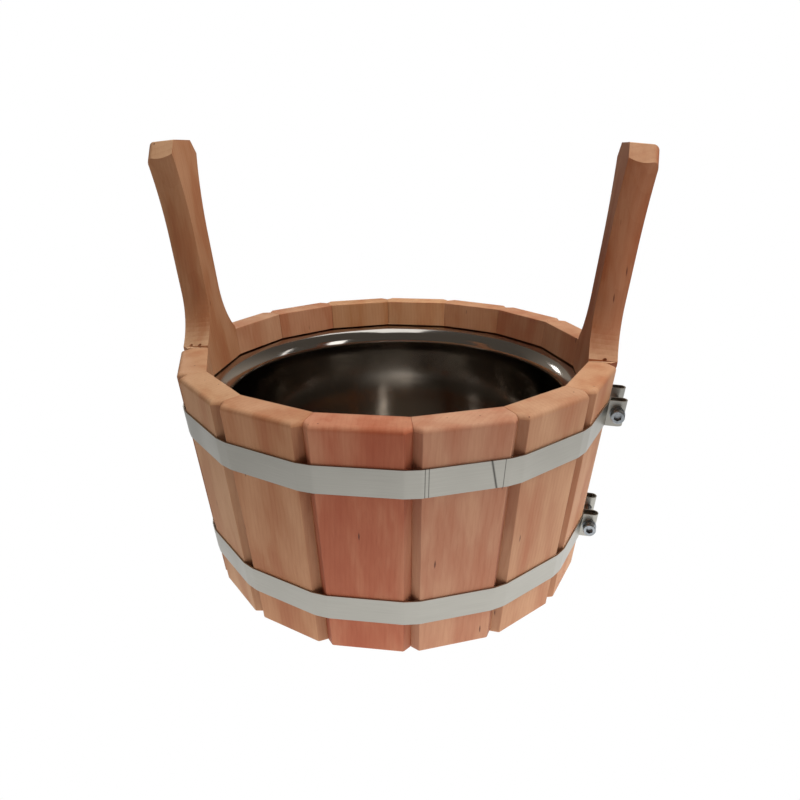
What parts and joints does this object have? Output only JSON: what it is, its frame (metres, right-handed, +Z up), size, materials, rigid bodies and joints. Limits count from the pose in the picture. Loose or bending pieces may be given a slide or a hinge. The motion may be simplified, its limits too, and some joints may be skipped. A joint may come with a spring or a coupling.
{
  "type": "coopered wash tub",
  "caption": "Low round coopered wooden wash tub with upright flared stave handles, a stainless insert bowl and flat steel hoops closed by cap screws.",
  "frame": {"origin": "on the floor at the centre of the tub, where its axis meets the plane of the staves' lower ends", "axes": "+Z up along the tub's axis, +X through the middle of the handle beside the hoop clamps, +Y to the back"},
  "size_m": [0.3648, 0.3368, 0.3291],
  "materials": {
    "stave_wood": "sanded, bare",
    "bottom_wood": "planed, bare",
    "dowel_wood": "turned, bare",
    "insert_steel": "satin drawn stainless",
    "hoop_steel": "rolled stainless strip",
    "plated_steel": "zinc plated"
  },
  "bodies": {
    "tub": {"handle_stave_right": "stave_wood", "handle_stave_left": "stave_wood", "stave_front_1": "stave_wood", "stave_front_2": "stave_wood", "stave_front_3": "stave_wood", "stave_front_4": "stave_wood", "stave_front_5": "stave_wood", "stave_front_6": "stave_wood", "stave_front_7": "stave_wood", "stave_back_1": "stave_wood", "stave_back_2": "stave_wood", "stave_back_3": "stave_wood", "stave_back_4": "stave_wood", "stave_back_5": "stave_wood", "stave_back_6": "stave_wood", "stave_back_7": "stave_wood", "bottom_board_1": "bottom_wood", "bottom_board_2": "bottom_wood", "bottom_board_3": "bottom_wood", "bottom_board_4": "bottom_wood", "bottom_dowels": "dowel_wood", "insert_bowl": "insert_steel", "hoop_upper": "hoop_steel", "hoop_lower": "hoop_steel", "clamp_washer_upper": "plated_steel", "clamp_washer_lower": "plated_steel"},
    "clamp_screw_upper": {"clamp_screw_upper": "plated_steel"},
    "clamp_nut_upper": {"clamp_nut_upper": "plated_steel"},
    "clamp_screw_lower": {"clamp_screw_lower": "plated_steel"},
    "clamp_nut_lower": {"clamp_nut_lower": "plated_steel"}
  },
  "joints": [
    {"name": "screw_turn_upper", "type": "hinge", "parent": "tub", "child": "clamp_screw_upper", "pos_m": [0.17271, -0.02427, 0.1392], "axis": [-0.1392, -0.9903, 0], "range_deg": [0, 2160]},
    {"name": "nut_travel_upper", "type": "slide", "parent": "tub", "child": "clamp_nut_upper", "axis": [0.1392, 0.9903, 0], "range_m": [0, 0.00601]},
    {"name": "screw_turn_lower", "type": "hinge", "parent": "tub", "child": "clamp_screw_lower", "pos_m": [0.16333, -0.01688, 0.0374], "axis": [-0.1028, -0.9947, 0], "range_deg": [0, 2160]},
    {"name": "nut_travel_lower", "type": "slide", "parent": "tub", "child": "clamp_nut_lower", "axis": [0.1028, 0.9947, 0], "range_m": [0, 0.00601]}
  ],
  "couplings": [
    {"joint": "nut_travel_upper", "follows": "screw_turn_upper", "m_per_rad": 0.00015915},
    {"joint": "nut_travel_lower", "follows": "screw_turn_lower", "m_per_rad": 0.00015915}
  ]
}
